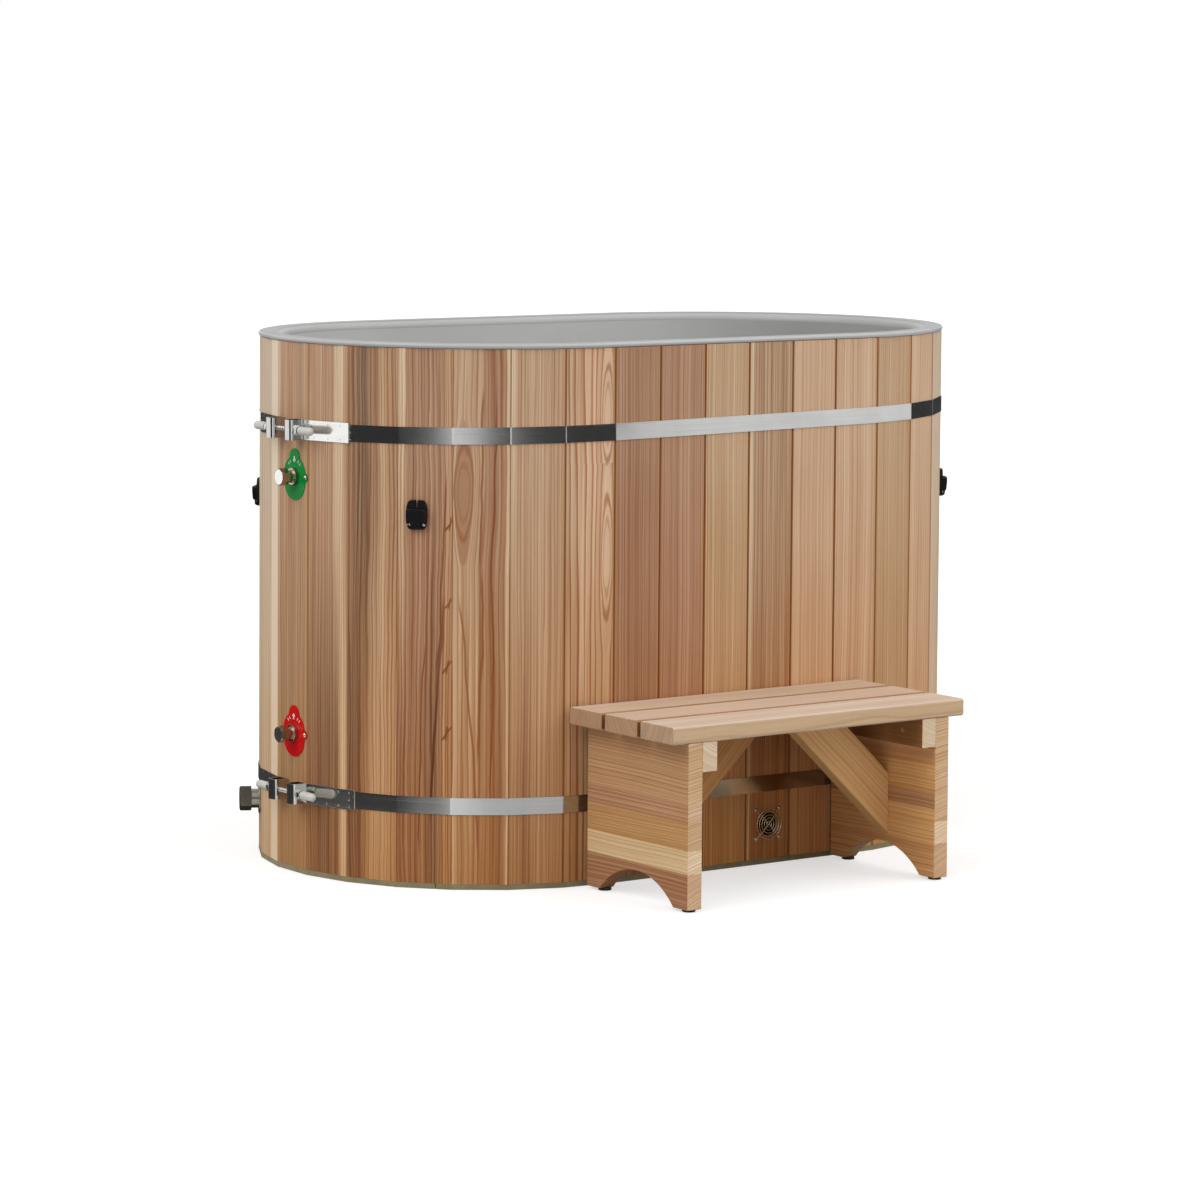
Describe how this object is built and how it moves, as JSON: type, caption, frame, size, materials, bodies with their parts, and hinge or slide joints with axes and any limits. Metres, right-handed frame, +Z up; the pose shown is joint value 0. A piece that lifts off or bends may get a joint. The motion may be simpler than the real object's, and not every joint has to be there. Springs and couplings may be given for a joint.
{
  "type": "oval cold plunge tub",
  "caption": "Oval stave-built cold plunge tub with a moulded liner, two clamped steel bands, capped ports and a loose wooden step",
  "frame": {"origin": "middle of the tub's footprint, on the floor", "axes": "+X along the tub's length, away from the end with the ports; +Z up; the front, where the step stands, faces -Y"},
  "size_m": [1.3345, 1.0565, 0.9035],
  "materials": {
    "liner_plastic": "satin",
    "foam": "closed-cell foam",
    "plywood": "bare",
    "framing_wood": "bare",
    "base_plastic": "matte",
    "sill_plastic": "matte",
    "cedar": "sanded, unfinished",
    "band_steel": "brushed",
    "lug_steel": "polished",
    "rod_steel": "zinc plated",
    "white_plastic": "soft vinyl",
    "nut_steel": "zinc plated",
    "green_plate": "anodised",
    "red_plate": "anodised",
    "screw_steel": "polished",
    "plated_brass": "plated",
    "cap_chrome": "plated",
    "seal_rubber": "matte",
    "fitting_plastic": "gloss",
    "drain_metal": "worn",
    "drain_cap_metal": "worn",
    "pipe_plastic": "matte",
    "clip_plastic": "moulded",
    "wire_chrome": "plated",
    "step_wood": "sanded, unfinished",
    "pad_rubber": "matte"
  },
  "bodies": {
    "root": {"liner": "liner_plastic", "foam_wrap": "foam", "floor_board": "plywood", "joists": "framing_wood", "base_plate": "base_plastic", "sill_strip": "sill_plastic", "staves_front": "cedar", "staves_right_end": "cedar", "staves_back": "cedar", "staves_left_end": "cedar", "upper_band": "band_steel", "lower_band": "band_steel", "upper_lugs": "lug_steel", "lower_lugs": "lug_steel", "clamp_rods": "rod_steel", "rod_caps": "white_plastic", "inlet_plate": "green_plate", "outlet_plate": "red_plate", "plate_screws": "screw_steel", "inlet_pipe": "plated_brass", "outlet_pipe": "plated_brass", "return_jet": "fitting_plastic", "suction_strainer": "fitting_plastic", "drain_flange": "drain_metal", "drain_pipe": "drain_metal", "drain_elbow": "pipe_plastic", "floor_drain": "fitting_plastic", "cover_clips": "clip_plastic", "clip_screws": "screw_steel", "vent_guard": "wire_chrome", "vent_screws": "screw_steel"},
    "inlet_seal": {"inlet_seal": "seal_rubber"},
    "inlet_cap": {"inlet_cap": "cap_chrome"},
    "outlet_seal": {"outlet_seal": "seal_rubber"},
    "outlet_cap": {"outlet_cap": "cap_chrome"},
    "drain_seal": {"drain_seal": "seal_rubber"},
    "drain_cap": {"drain_cap": "drain_cap_metal"},
    "upper_washer_front": {"upper_washer_front": "nut_steel"},
    "upper_nut_front": {"upper_nut_front": "nut_steel"},
    "upper_washer_back": {"upper_washer_back": "nut_steel"},
    "upper_nut_back": {"upper_nut_back": "nut_steel"},
    "lower_washer_front": {"lower_washer_front": "nut_steel"},
    "lower_nut_front": {"lower_nut_front": "nut_steel"},
    "lower_washer_back": {"lower_washer_back": "nut_steel"},
    "lower_nut_back": {"lower_nut_back": "nut_steel"},
    "step": {"step_board_front": "step_wood", "step_board_middle": "step_wood", "step_board_back": "step_wood", "step_panel_left": "step_wood", "step_panel_right": "step_wood", "step_cleat_left": "step_wood", "step_cleat_right": "step_wood", "step_brace_left": "step_wood", "step_brace_right": "step_wood", "step_pads": "pad_rubber", "step_screws": "screw_steel"}
  },
  "joints": [
    {"name": "inlet_cap_travel", "type": "slide", "parent": "root", "child": "inlet_seal", "axis": [-0.9998, 0.0179, 0], "range_m": [0, 0.00907]},
    {"name": "inlet_cap_turn", "type": "hinge", "parent": "inlet_seal", "child": "inlet_cap", "pos_m": [-0.67543, 0.00033, 0.67], "axis": [-0.9998, 0.0179, 0], "range_deg": [0, 1800]},
    {"name": "outlet_cap_travel", "type": "slide", "parent": "root", "child": "outlet_seal", "axis": [-0.9998, 0.0179, 0], "range_m": [0, 0.00907]},
    {"name": "outlet_cap_turn", "type": "hinge", "parent": "outlet_seal", "child": "outlet_cap", "pos_m": [-0.67543, 0.00033, 0.236], "axis": [-0.9998, 0.0179, 0], "range_deg": [0, 1800]},
    {"name": "drain_cap_travel", "type": "slide", "parent": "root", "child": "drain_seal", "axis": [-0.874, 0.4859, 0], "range_m": [0, 0.01385]},
    {"name": "drain_cap_turn", "type": "hinge", "parent": "drain_seal", "child": "drain_cap", "pos_m": [-0.62696, 0.20024, 0.095], "axis": [-0.874, 0.4859, 0], "range_deg": [0, 2160]},
    {"name": "upper_front_nut_travel", "type": "slide", "parent": "root", "child": "upper_washer_front", "axis": [-0.0179, -0.9998, -0.0002], "range_m": [0, 0.00282]},
    {"name": "upper_front_nut_turn", "type": "hinge", "parent": "upper_washer_front", "child": "upper_nut_front", "pos_m": [-0.66649, -0.03349, 0.75041], "axis": [-0.0179, -0.9998, -0.0002], "range_deg": [0, 720]},
    {"name": "upper_back_nut_travel", "type": "slide", "parent": "root", "child": "upper_washer_back", "axis": [0.0179, 0.9998, 0.0002], "range_m": [0, 0.00282]},
    {"name": "upper_back_nut_turn", "type": "hinge", "parent": "upper_washer_back", "child": "upper_nut_back", "pos_m": [-0.66492, 0.0538, 0.75042], "axis": [0.0179, 0.9998, 0.0002], "range_deg": [0, 720]},
    {"name": "lower_front_nut_travel", "type": "slide", "parent": "root", "child": "lower_washer_front", "axis": [-0.0179, -0.9998, 0], "range_m": [0, 0.00282]},
    {"name": "lower_front_nut_turn", "type": "hinge", "parent": "lower_washer_front", "child": "lower_nut_front", "pos_m": [-0.66672, -0.04349, 0.139], "axis": [-0.0179, -0.9998, 0], "range_deg": [0, 720]},
    {"name": "lower_back_nut_travel", "type": "slide", "parent": "root", "child": "lower_washer_back", "axis": [0.0179, 0.9998, 0], "range_m": [0, 0.00282]},
    {"name": "lower_back_nut_turn", "type": "hinge", "parent": "lower_washer_back", "child": "lower_nut_back", "pos_m": [-0.66515, 0.0438, 0.139], "axis": [0.0179, 0.9998, 0], "range_deg": [0, 720]},
    {"name": "step_slide", "type": "slide", "parent": "root", "child": "step", "axis": [0, -1, 0], "range_m": [0, 0.4]}
  ],
  "couplings": [
    {"joint": "inlet_cap_travel", "follows": "inlet_cap_turn", "m_per_rad": 0.00028871},
    {"joint": "outlet_cap_travel", "follows": "outlet_cap_turn", "m_per_rad": 0.00028871},
    {"joint": "drain_cap_travel", "follows": "drain_cap_turn", "m_per_rad": 0.00036749},
    {"joint": "upper_front_nut_travel", "follows": "upper_front_nut_turn", "m_per_rad": 0.00022441},
    {"joint": "upper_back_nut_travel", "follows": "upper_back_nut_turn", "m_per_rad": 0.00022441},
    {"joint": "lower_front_nut_travel", "follows": "lower_front_nut_turn", "m_per_rad": 0.00022441},
    {"joint": "lower_back_nut_travel", "follows": "lower_back_nut_turn", "m_per_rad": 0.00022441}
  ]
}
